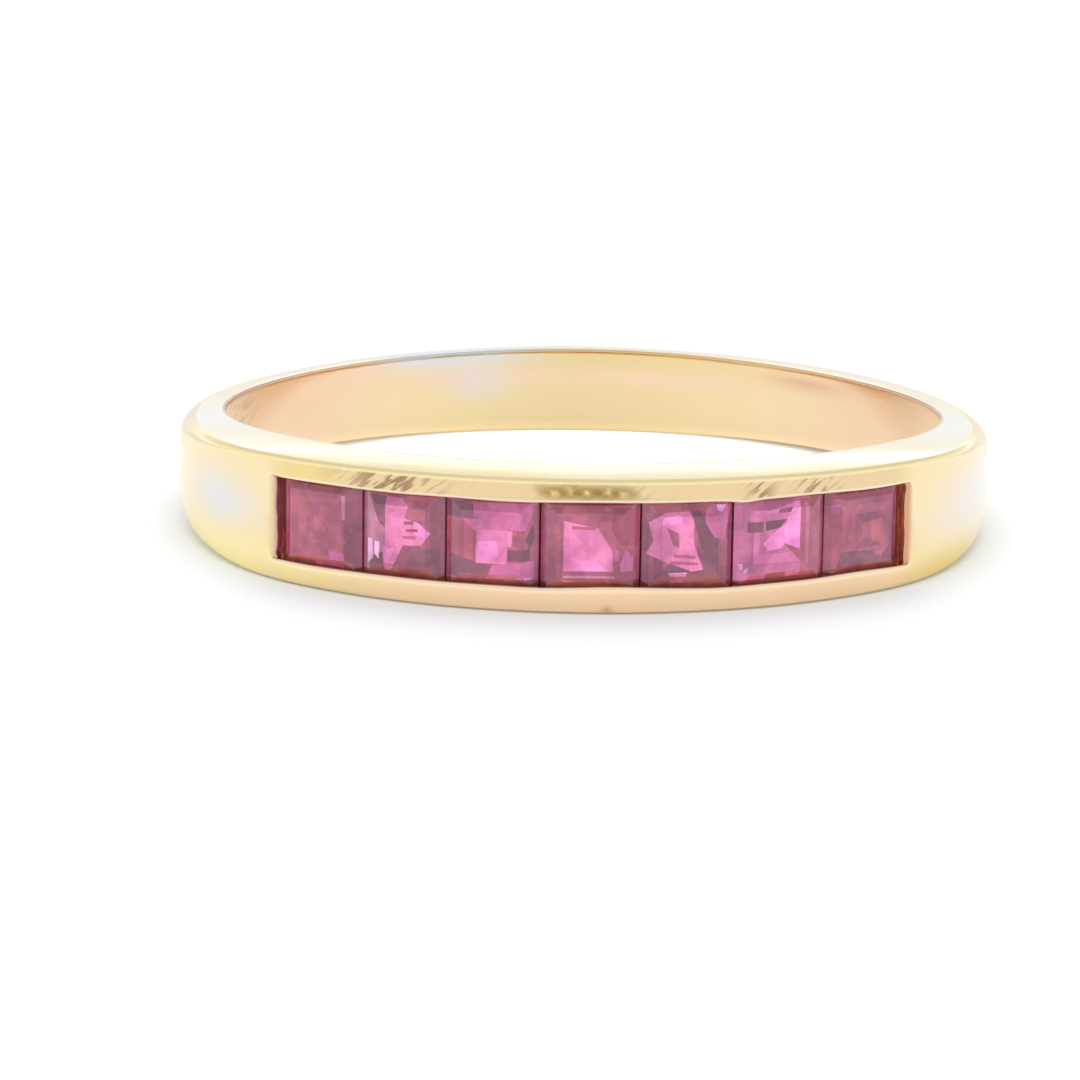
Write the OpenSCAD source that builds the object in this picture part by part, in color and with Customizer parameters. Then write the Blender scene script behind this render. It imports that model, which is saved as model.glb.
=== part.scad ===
// Channel set band: a polished gold ring with seven square stones side by side
// in one channel. It lies on its side, as it rests on a table: the floor is
// z = 0, the stones face -Y, and the origin is under the middle of the ring.
// The band is one casting; each stone is a piece of its own. Millimetres.

/* [Finger hole] */
// Inner diameter of the ring
bore_d = 16.9; // [16.5:0.1:18]

/* [Band] */
// Wall thickness of the head, where the stones are set
head_t = 1.9; // [1.85:0.05:2.2]
// Wall thickness of the shank
shank_t = 1; // [0.8:0.05:1.2]
// How much the right of the back is thicker, and the left thinner, than that
hand_filing = 0.1; // [0:0.02:0.2]
// Width of the band at the front
head_w = 2.95; // [2.85:0.05:3.3]
// Width of the band at the back
back_w = 2.1; // [1.8:0.05:2.6]
// How far the shoulders are waisted, as a share of the width
waist = 0.18; // [0:0.01:0.2]

/* [Rounding] */
// How far the outside of the head bulges over its edges
head_dome = 0.05; // [0.02:0.01:0.08]
// How far the outside of the shank bulges over its edges
shank_dome = 0.1; // [0.05:0.01:0.2]
// Rounding of the edges of the head
head_edge = 0.07; // [0.04:0.01:0.1]
// Rounding of the edges of the shoulders
shoulder_edge = 0.34; // [0.2:0.02:0.4]
// Rounding of the edges at the back
back_edge = 0.14; // [0.1:0.02:0.3]

/* [Channel] */
// Width of the channel between the two rails
mouth_w = 1.81; // [1.76:0.01:1.86]
// Bevel along the inner edge of each rail
lip_bevel = 0.09; // [0.06:0.01:0.1]
// Space between the last stone of the row and the end wall
end_gap = 0.1; // [0.05:0.01:0.2]
// Metal left under the stones
floor_t = 0.38; // [0.3:0.02:0.4]

/* [Stones] */
// Width of each stone across the row
stone_w = 2.06; // [2.02:0.01:2.1]
// Height of a stone from its girdle to its table
crown_h = 0.24; // [0.2:0.01:0.26]
// Thickness of the girdle
girdle_t = 0.06; // [0.04:0.01:0.08]
// Depth of a stone below its girdle
pavilion_h = 1.05; // [0.95:0.01:1.06]
// Play between a stone and what is beside it
play = 0.03; // [0.02:0.01:0.04]

/* [Hidden] */

GOLD = "#e9c98b";
RUBY = "#b04a70";

bore_r = bore_d / 2;
head_r = bore_r + head_t;

// Angles along the band are taken from the middle of the stones, in degrees.
// The head keeps its section up to the first, and the shank starts at the last.
head_end = 38;
shoulder_end = 94;
// The rounding of the edges swells between these angles, and dies away again.
swell_start = 43;
swell_end = 72;
fade_start = 95;
fade_end = 150;

// The two sides of the band are planes that come together towards the back, so
// half of its width at a distance y behind the axis is side_mid - side_slope * y.
side_slope = (head_w - back_w) / (head_r + bore_r + shank_t) / 2;
side_mid = head_w / 2 - side_slope * head_r;
rest_tilt = atan(side_slope);

// How the sections are drawn: the number of them round the ring, the steps in
// each rounded edge and the steps across the domed outside.
SECTIONS = 120;
EDGE_STEPS = 4;
DOME_STEPS = 8;
// How much taller than deep the rounding of an edge is
EDGE_STRETCH = 1.25;
// The sections reach this far into the finger hole before it is drilled.
DRILL_MARGIN = 0.4;

// Each stone is cut by hand: its width along the row, the share of it that the
// table takes, the shares of the pavilion's depth at which its belt and its keel
// lie, and how far the belt's corners stand out along the stone's sides.
WIDTH = 0;
TABLE = 1;
BELT = 2;
KEEL = 3;
SPREAD = 4;
STONES = [
    [2.09, 0.70, 0.25, 0.68, 0.45],
    [1.90, 0.62, 0.28, 0.62, 0.36],
    [2.00, 0.66, 0.24, 0.66, 0.50],
    [2.09, 0.68, 0.27, 0.70, 0.40],
    [1.97, 0.60, 0.30, 0.64, 0.54],
    [2.14, 0.66, 0.23, 0.60, 0.42],
    [2.07, 0.70, 0.26, 0.67, 0.48]
];

// The top of the girdle lies this far from the axis at the middle of a stone.
table_sink = 0.1;
girdle_r = head_r - table_sink - crown_h;
girdle_low = girdle_r - girdle_t;
floor_r = bore_r + floor_t;
// The stone's corners stand further from the axis than the middle of its side.
corner_rise = 0.06;
// The rails hold the stones in a groove, whose wall slopes in below the girdle.
groove_half = stone_w / 2 + play;
seat_slope = 62;
seat_half = groove_half - (girdle_low - play - floor_r) / tan(seat_slope);
// The crown is cut in two steps, and the lower one has this slope.
crown_slope = 42;
// The edges that run down from the girdle's corners to the belt have this slope,
// and the keel's sides and corners stand out from a straight run to the point.
BELT_SLOPE = 50;
KEEL_SIDE = 1.25;
KEEL_CORNER = 1.1;
groove_top = girdle_r + corner_rise + play
    + (stone_w - mouth_w) / 2 * tan(crown_slope);

// Angle of half a stone, with half of the play beside it
function half_angle(i) = atan((STONES[i][WIDTH] + play) / 2 / girdle_low);
function row_angle(i) = i == 0 ? 0 : row_angle(i - 1) + 2 * half_angle(i - 1);
row_half = row_angle(len(STONES)) / 2;
channel_half = row_half + end_gap / head_r * 180 / PI;
function stone_angle(i) = row_angle(i) + half_angle(i) - row_half;

// An ease from 0 to 1 as x goes from a to b
function ease(x, a, b) = let (u = max(0, min(1, (x - a) / (b - a)))) u * u * (3 - 2 * u);
// How far an angle is from the front, 0 to 180
function from_front(a) = a > 180 ? 360 - a : a;

// Half of the band's width at angle a and radius r
function half_width(a, r) =
    let (along = max(0, (from_front(a) - head_end) / (180 - head_end)))
    (side_mid + side_slope * r * cos(a)) * (1 - waist * pow(sin(180 * along), 2));

// Wall thickness at angle a, with the filing that makes the back uneven
function wall(a) =
    let (
        f = from_front(a),
        side = a < 180 ? 1 : -1,
        uneven = f < 90 ? 0 : side * hand_filing * pow(sin(2 * f), 2)
    )
    shank_t + uneven + (head_t - shank_t) * (1 - ease(f, head_end, shoulder_end));

// How far the outside bulges, and how deep its edges are rounded, at angle a
function dome(a) =
    head_dome + (shank_dome - head_dome) * ease(from_front(a), swell_start, swell_end);
function edge(a) =
    let (f = from_front(a))
    head_edge + (shoulder_edge - head_edge) * ease(f, swell_start, swell_end)
    - (shoulder_edge - back_edge) * ease(f, fade_start, fade_end);

// The upper half of a section at angle a, from the finger hole to the middle of
// the outside, as radius and height
function upper_half(a) =
    let (
        e = edge(a),
        outer = bore_r + wall(a),
        h = half_width(a, outer - e),
        low = h - e * EDGE_STRETCH,
        rim = outer - dome(a) * pow(low / h, 2)
    )
    concat(
        [[bore_r - DRILL_MARGIN, half_width(a, bore_r - DRILL_MARGIN)]],
        [for (i = [0:EDGE_STEPS]) let (
            t = 90 * i / EDGE_STEPS,
            r = rim - e * (1 - sin(t))
        ) [r, half_width(a, r) - e * EDGE_STRETCH * (1 - cos(t))]],
        [for (i = [1:DOME_STEPS / 2]) let (
            z = low * (1 - 2 * i / DOME_STEPS)
        ) [outer - dome(a) * pow(z / h, 2), z]]
    );
// A whole section: the upper half, then the same points below, in turn
function section(a) =
    let (upper = upper_half(a), last = len(upper) - 2)
    concat(upper, [for (i = [last:-1:0]) [upper[i][0], -upper[i][1]]]);

// The body of the band before it is drilled and cut
module blank() {
    sections = [for (i = [0:SECTIONS - 1]) section(360 * i / SECTIONS)];
    count = len(sections[0]);
    points = [for (i = [0:SECTIONS - 1], p = sections[i])
        let (a = 360 * i / SECTIONS) [p[0] * sin(a), -p[0] * cos(a), p[1]]];
    faces = [for (i = [0:SECTIONS - 1], j = [0:count - 1], k = [0, 1])
        let (
            next = (i + 1) % SECTIONS * count,
            here = i * count,
            up = (j + 1) % count
        )
        k == 0 ? [here + j, next + up, here + up] : [here + j, next + j, next + up]];
    polyhedron(points, faces, convexity = 4);
}

// The space that the stones sit in, swept along the row
module channel() {
    outside = head_r + 1;
    lip_r = head_r - lip_bevel;
    mouth = mouth_w / 2;
    half = [
        [outside, mouth + outside - lip_r],
        [lip_r, mouth],
        [groove_top, mouth],
        [groove_top, groove_half],
        [girdle_low - play, groove_half],
        [floor_r, seat_half]
    ];
    below = [for (i = [len(half) - 1:-1:0]) [half[i][0], -half[i][1]]];
    rotate([0, 0, -90 - channel_half])
        rotate_extrude(angle = 2 * channel_half, $fn = 180)
            polygon(concat(half, below));
}

// The corners of a rectangle at height z, from half of its sides
function corners(half, z) =
    [for (sx = [-1, 1], sy = [-1, 1]) [sx * half[0], sy * half[1], z]];

// The corners of stone i, with x along the row, z outwards and 0 at the girdle
function stone_corners(i) =
    let (
        cut = STONES[i],
        half = [cut[WIDTH] / 2, stone_w / 2],
        one = [1, 1],
        step_in = crown_h / 2 / tan(crown_slope),
        belt = pavilion_h * cut[BELT],
        side = half - one * belt / tan(seat_slope),
        corner = half - one * belt / tan(BELT_SLOPE),
        keel = half * (1 - cut[KEEL])
    )
    concat(
        corners(half * cut[TABLE], crown_h),
        corners(half - one * step_in, crown_h / 2),
        corners(half, 0),
        corners(half, -girdle_t),
        corners([side[0], half[1] * cut[SPREAD]], -girdle_t - belt),
        corners([half[0] * cut[SPREAD], side[1]], -girdle_t - belt),
        corners(corner, -girdle_t - belt),
        corners([keel[0] * KEEL_SIDE, 0], -girdle_t - pavilion_h * cut[KEEL]),
        corners([0, keel[1] * KEEL_SIDE], -girdle_t - pavilion_h * cut[KEEL]),
        corners(keel * KEEL_CORNER, -girdle_t - pavilion_h * cut[KEEL]),
        [[0, 0, -girdle_t - pavilion_h]]
    );

// A cut stone has no hollow, so it is all that lies between its corners.
module cut_stone(i) {
    points = stone_corners(i);
    hull() polyhedron(points, [[for (k = [0:len(points) - 1]) k]]);
}

// Turns the ring from its own axis to the side that it rests on
module at_rest() {
    translate([0, (head_t - shank_t) / 2, side_mid * cos(rest_tilt)])
        rotate([-rest_tilt, 0, 0])
            children();
}

module band() {
    color(GOLD) at_rest() difference() {
        blank();
        cylinder(h = 2 * head_w, r = bore_r, center = true, $fn = 180);
        channel();
    }
}

module stone(i) {
    color(RUBY) at_rest()
        rotate([0, 0, stone_angle(i)])
            translate([0, -girdle_r, 0])
                rotate([90, 0, 0])
                    cut_stone(i);
}

module stone_1() { stone(0); }
module stone_2() { stone(1); }
module stone_3() { stone(2); }
module stone_4() { stone(3); }
module stone_5() { stone(4); }
module stone_6() { stone(5); }
module stone_7() { stone(6); }

band();
stone_1();
stone_2();
stone_3();
stone_4();
stone_5();
stone_6();
stone_7();
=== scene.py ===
"""Looks of a channel set band: a polished gold ring that lies on its side.

The band replaces the plain casting of the frame with the same shape, finely
rounded, with hand-finished rails and end walls, whose colours paint in their
reflections and shade. Each stone replaces its plain one with the same outline, cut
into the many small facets that show through its table, whose tones paint in the
light and shade inside the stone.
The ring's sizes are in millimetres until a mesh is placed, and its angles in degrees
along the band from the middle of the stones.
"""

from __future__ import annotations

import logging
import math
from collections.abc import Callable
from dataclasses import dataclass, field
from enum import Enum
from functools import partial

import bmesh
import bpy
import numpy as np
from mathutils import Matrix, Vector


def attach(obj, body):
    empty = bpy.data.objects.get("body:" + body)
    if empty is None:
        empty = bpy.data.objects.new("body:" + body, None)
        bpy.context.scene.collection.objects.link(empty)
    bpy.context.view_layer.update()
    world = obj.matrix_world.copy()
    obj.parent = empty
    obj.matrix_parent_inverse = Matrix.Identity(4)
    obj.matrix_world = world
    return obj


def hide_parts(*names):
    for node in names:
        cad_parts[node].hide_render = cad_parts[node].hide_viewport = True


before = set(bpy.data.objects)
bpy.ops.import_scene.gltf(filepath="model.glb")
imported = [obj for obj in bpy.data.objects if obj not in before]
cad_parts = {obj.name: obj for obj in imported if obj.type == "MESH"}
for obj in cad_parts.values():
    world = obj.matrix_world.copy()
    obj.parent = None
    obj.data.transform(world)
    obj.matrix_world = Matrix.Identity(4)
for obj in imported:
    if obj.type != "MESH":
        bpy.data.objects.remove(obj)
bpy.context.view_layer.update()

LOG = logging.getLogger("channel_set_band")
MM = 0.001
WELD = 1e-4
ORIGIN = (0.0, 0.0, 0.0)
Pair = tuple[float, float]
Triple = tuple[float, float, float]
Rgba = tuple[float, float, float, float]
Numbers = "np.ndarray | float"
Value = "Wire | float | tuple[float, ...]"
FaceTest = Callable[[bmesh.types.BMFace], bool]


# ---- shader maths
@dataclass
class Wire:
    """An output socket that takes part in Python expressions."""

    graph: Graph
    socket: bpy.types.NodeSocket

    def _math(self, operation: str, first: Value, second: Value) -> Wire:
        """Adds one Math node."""
        return self.graph.add("Math", {"operation": operation}, {0: first, 1: second})

    def __add__(self, other: Value) -> Wire:
        """Adds a value."""
        return self._math("ADD", self, other)

    def __radd__(self, other: Value) -> Wire:
        """Adds this to a value."""
        return self._math("ADD", other, self)

    def __sub__(self, other: Value) -> Wire:
        """Takes a value away."""
        return self._math("SUBTRACT", self, other)

    def __rsub__(self, other: Value) -> Wire:
        """Takes this away from a value."""
        return self._math("SUBTRACT", other, self)

    def __mul__(self, other: Value) -> Wire:
        """Multiplies by a value."""
        return self._math("MULTIPLY", self, other)

    def __rmul__(self, other: Value) -> Wire:
        """Multiplies a value by this."""
        return self._math("MULTIPLY", other, self)

    def smooth(self, low: float, high: float) -> Wire:
        """Rises smoothly from 0 at one value to 1 at another."""
        limits = {"Value": self, "From Min": low, "From Max": high}
        return self.graph.add("MapRange", {"interpolation_type": "SMOOTHSTEP"}, limits)

    def sibling(self, output: int) -> Wire:
        """Gives another output of the same node."""
        return Wire(self.graph, self.socket.node.outputs[output])


class Graph:
    """The nodes of one material or world."""

    def __init__(self, tree: bpy.types.NodeTree) -> None:
        """Empties a node tree, to build in it."""
        tree.nodes.clear()
        self.tree = tree

    def add(
        self,
        kind: str,
        settings: dict | None = None,
        inputs: dict | None = None,
        output: int | str = 0,
    ) -> Wire:
        """Adds a node.

        Args:
            kind: The node's type, after the common ShaderNode.
            settings: Its settings, by name.
            inputs: Values or wires for its sockets, by name or number.
            output: The output to return.

        Returns:
            That output.
        """
        node = self.tree.nodes.new("ShaderNode" + kind)
        for name, value in (settings or {}).items():
            setattr(node, name, value)
        for name, value in (inputs or {}).items():
            if isinstance(value, Wire):
                self.tree.links.new(value.socket, node.inputs[name])
            else:
                node.inputs[name].default_value = value
        return Wire(self, node.outputs[output])

    def end(self, kind: str, shader: Wire) -> None:
        """Adds an output node that shows a shader."""
        node = self.tree.nodes.new("ShaderNode" + kind)
        self.tree.links.new(shader.socket, node.inputs["Surface"])

    def mix(self, share: Value, first: Value, second: Value, blend: str = "MIX") -> Wire:
        """Mixes two colours, with the given share of the second one."""
        settings = {"data_type": "RGBA", "blend_type": blend}
        return self.add("Mix", settings, {0: share, 6: first, 7: second}, output=2)

    def noise(self, place: Wire, scale: float, detail: float = 2.0) -> Wire:
        """Adds a noise from 0 to 1, whose scale is per metre."""
        inputs = {"Vector": place, "Scale": scale, "Detail": detail}
        return self.add("TexNoise", inputs=inputs)

    def cells(self, place: Wire, scale: float, output: str = "Distance") -> Wire:
        """Adds a pattern of small cells, whose scale is per metre."""
        inputs = {"Vector": place, "Scale": scale}
        return self.add("TexVoronoi", inputs=inputs, output=output)

    def bend(self, place: Wire, **change: Triple) -> Wire:
        """Turns or stretches the place that a pattern is read at."""
        return self.add("Mapping", inputs={"Vector": place, **change})

    def attribute(self, name: str, output: str = "Fac") -> Wire:
        """Reads an attribute of the piece itself."""
        return self.add("Attribute", {"attribute_name": name}, output=output)


def rgba(red: float, green: float, blue: float) -> Rgba:
    """Gives a linear colour its alpha of 1."""
    return (red, green, blue, 1.0)


# ---- finishes
class Finish:
    """A finish that a piece can be given."""

    def make(self, name: str) -> bpy.types.Material:
        """Makes the material.

        Args:
            name: Its name.

        Returns:
            The material.
        """
        material = bpy.data.materials.new(name)
        material.use_nodes = True
        graph = Graph(material.node_tree)
        place = graph.add("TexCoord", output="Object")
        graph.end("OutputMaterial", self.shader(graph, place))
        return material

    def shader(self, graph: Graph, place: Wire) -> Wire:
        """Gives the shader, which each finish builds in its own way."""
        raise NotImplementedError


@dataclass(frozen=True)
class Gold(Finish):
    """Yellow gold, polished by hand, with rubbing marks and pits, and dark streaks: painted
    reflections on the upper rail, wear elsewhere.
    """

    # The mark colour darkens the pits, and the streaks: painted reflections on the upper rail, wear
    # elsewhere.
    mark: Rgba = rgba(0.30, 0.17, 0.09)
    roughness: float = 0.06
    clouding: float = 0.08
    matting: float = 0.4
    relief: float = 0.00002
    cloud_scale: float = 450.0
    wave_scale: float = 330.0
    rub_scale: float = 2600.0
    pit_scale: float = 1500.0
    patch_scale: float = 500.0
    mark_scale: float = 1200.0
    mark_lean: float = -0.9
    stretch: float = 7.0

    def shader(self, graph: Graph, place: Wire) -> Wire:
        """Builds gold that takes its colour, painted reflections and shade included, from the
        piece's own tint.

        Args:
            graph: The material's graph.
            place: Where a point lies on the piece.

        Returns:
            The shader.
        """
        tint = graph.attribute("tint", "Color")
        wear_and_reflection, matte = graph.attribute("wear_and_reflection"), graph.attribute("matte")
        clouds = graph.noise(place, self.cloud_scale, 3.0)
        rubbed = graph.bend(place, Scale=(1.0, 1.0, self.stretch))
        rubs = graph.noise(rubbed, self.rub_scale, 3.0)
        waves = graph.noise(place, self.wave_scale, 1.0)
        patches = graph.noise(place, self.patch_scale).smooth(0.56, 0.66)
        pits = graph.cells(place, self.pit_scale).smooth(0.10, 0.02) * patches
        leaning = graph.bend(place, Rotation=(0.0, self.mark_lean, 0.0))
        combed = graph.bend(leaning, Scale=(self.stretch, 1.0, 1.0))
        # Dark streaks: painted reflections on the upper rail, wear elsewhere.
        marks = wear_and_reflection * graph.noise(combed, self.mark_scale, 3.0).smooth(0.49, 0.56)
        height = waves + rubs * 0.03 - pits * 0.12 - marks * 0.1
        bump = graph.add("Bump", inputs={"Distance": self.relief, "Height": height})
        return graph.add("BsdfPrincipled", inputs={
            "Base Color": graph.mix(marks + pits * 0.4, tint, self.mark),
            "Metallic": 1.0,
            "Roughness": self.roughness + clouds * self.clouding + matte * self.matting,
            "Normal": bump,
        })


@dataclass(frozen=True)
class Ruby(Finish):
    """A pinkish ruby with a glossy surface, whose facets each have their own tone, with painted
    light and shade among them, and which glows a little in its colour, painted light from inside
    the stone.
    """

    glow: float = 0.25
    index: float = 1.77
    roughness: float = 0.05
    depth: Rgba = rgba(0.62, 0.50, 0.62)
    fleck: Rgba = rgba(0.72, 0.36, 0.50)
    silk_scale: float = 1500.0
    fleck_scale: float = 5200.0
    chip_scale: float = 4600.0

    def shader(self, graph: Graph, place: Wire) -> Wire:
        """Builds ruby that takes its colour from the tones of the piece's own facets.

        Args:
            graph: The material's graph.
            place: Where a point lies on the piece.

        Returns:
            The shader.
        """
        tone = graph.attribute("tone", "Color")
        deep = graph.mix(1.0, tone, self.depth, "MULTIPLY")
        silk = graph.noise(place, self.silk_scale, 3.0).smooth(0.30, 0.62)
        flecks = graph.noise(place, self.fleck_scale).smooth(0.60, 0.72)
        chips = graph.cells(place, self.chip_scale, "Color").smooth(0.52, 0.56)
        colour = graph.mix(chips * 0.22, graph.mix(silk, deep, tone), deep)
        colour = graph.mix(flecks * 0.08, colour, self.fleck)
        return graph.add("BsdfPrincipled", inputs={
            "Base Color": colour,
            "Roughness": self.roughness,
            "IOR": self.index,
            # Painted light: the stone glows in its own colour, for light coming back out of it.
            "Emission Color": colour,
            "Emission Strength": self.glow,
        })


@dataclass(frozen=True)
class Paper(Finish):
    """The plain white sheet that the ring lies on, with its sizes in metres, and painted light that
    keeps it white inside the finger hole and round the band.
    """

    colour: Rgba = rgba(0.875, 0.92, 0.94)
    roughness: float = 0.9
    shine: float = 0.1
    glow: float = 0.08
    # Painted light that lifts the shade off the sheet inside the finger hole, at the band's foot
    # and beside the band.
    hole_glow: float = 0.16
    foot_glow: float = 0.34
    side_glow: float = 0.05
    hole: float = 0.0083
    hole_y: float = 0.00045
    sides: Pair = (0.0058, 0.0092)

    def shader(self, graph: Graph, place: Wire) -> Wire:
        """Builds the paper.

        Args:
            graph: The material's graph.
            place: Where a point lies on the sheet.

        Returns:
            The shader.
        """

        def away(operation: str, vector: Triple) -> Wire:
            """Measures how far a place is out, once it is moved or flattened."""
            kind = "VectorMath"
            changed = graph.add(kind, {"operation": operation}, {0: place, 1: vector})
            return graph.add(kind, {"operation": "LENGTH"}, {0: changed}, output="Value")

        out = away("SUBTRACT", (0.0, self.hole_y, 0.0))
        within = 1.0 - out.smooth(self.hole, self.hole * 1.08)
        foot = within * out.smooth(self.hole * 0.8, self.hole)
        aside = away("MULTIPLY", (1.0, 0.0, 0.0)).smooth(*self.sides)
        # Painted light: an even glow, with more inside the finger hole, at the band's foot and
        # beside the band, where shade would fall.
        light = (
            self.glow
            + within * self.hole_glow
            + foot * self.foot_glow
            + (1.0 - within) * aside * self.side_glow
        )
        return graph.add("BsdfPrincipled", inputs={
            "Base Color": self.colour,
            "Roughness": self.roughness,
            "Specular IOR Level": self.shine,
            "Emission Color": graph.mix(light, rgba(*ORIGIN), rgba(1.0, 1.0, 1.0)),
            "Emission Strength": 1.0,
        })


# ---- mesh tooling
def deselect_all() -> None:
    """Leaves nothing selected and nothing in edit mode."""
    if bpy.context.object and bpy.context.object.mode != "OBJECT":
        bpy.ops.object.mode_set(mode="OBJECT")
    bpy.ops.object.select_all(action="DESELECT")


def resize(x: float, y: float, z: float) -> None:
    """Resizes what is selected, about the origin."""
    bpy.ops.transform.resize(value=(x, y, z), center_override=ORIGIN)


def ease(x: Numbers, low: float, high: float) -> Numbers:
    """Rises smoothly from 0 at a low value to 1 at a high one."""
    u = np.clip((x - low) / (high - low), 0.0, 1.0)
    return u * u * (3.0 - 2.0 * u)


def swell(x: Numbers, middle: float, spread: float) -> Numbers:
    """Rises to 1 at a middle value and falls away on both sides of it."""
    return np.exp(-(((x - middle) / spread) ** 2))


def fold(angle: float) -> float:
    """Gives how far an angle from 0 to 360 is from the front."""
    return 360.0 - angle if angle > 180.0 else angle


def quarter(steps: int, first: int = 0) -> list[Pair]:
    """Gives the cosine and sine of equal steps from 0 to 90 degrees, from a first one on."""
    turns = [math.radians(90.0 / steps * k) for k in range(first, steps + 1)]
    return [(math.cos(t), math.sin(t)) for t in turns]


def holds(corners: np.ndarray, x: float, y: float) -> bool:
    """Tells whether a place lies inside a convex outline.

    Args:
        corners: The outline's corners, one row each.
        x: The place along the row.
        y: The place across it.

    Returns:
        Whether it lies inside.
    """
    sides = np.roll(corners, -1, axis=0) - corners
    turn = sides[:, 0] * (y - corners[:, 1]) - sides[:, 1] * (x - corners[:, 0])
    return bool(np.all(turn > 0.0) or np.all(turn < 0.0))


class Tone(Enum):
    """What a facet of a stone shows, as a linear colour: rose, mauve, wine and coral are the ruby's
    own, the lighter tones painted flashes of light from the facets inside, ash and slate painted
    dark patches where they send none back, and umber painted shade along the stone's lower edge by
    the lower lip.
    """

    ROSE = (0.46, 0.09, 0.16)
    MAUVE = (0.36, 0.074, 0.14)
    ASH = (0.25, 0.062, 0.115)
    SLATE = (0.185, 0.045, 0.088)
    WINE = (0.36, 0.05, 0.115)
    PINK = (0.62, 0.125, 0.315)
    PETAL = (0.70, 0.17, 0.38)
    FLASH = (0.80, 0.195, 0.435)
    BRIGHT = (0.93, 0.27, 0.62)
    SPARK = (0.98, 0.50, 0.84)
    BLUSH = (0.56, 0.175, 0.29)
    CORAL = (0.47, 0.095, 0.14)
    UMBER = (0.22, 0.05, 0.035)


ROSE, MAUVE, ASH, SLATE, WINE, PINK, PETAL, FLASH, BRIGHT, SPARK, BLUSH, CORAL, UMBER = Tone


@dataclass(frozen=True)
class Cut:
    """How one stone is cut: its width, its table, where its keel shows, and facets.

    The ground has the tones left of the keel, above it, right of it and below it. A
    row of the facets has a tone and the corners of a convex outline that shows through
    the table, or only the first and third corners of a box. They are pairs of
    hundredths of the stone's half width and of the channel's half width. The tones
    are painted light and shade from the facets inside the stone, over its own colour.
    """

    width: float
    table: float
    heart: Pair
    ground: tuple[Tone, ...]
    facets: tuple[tuple[Tone | int, ...], ...]


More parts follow.
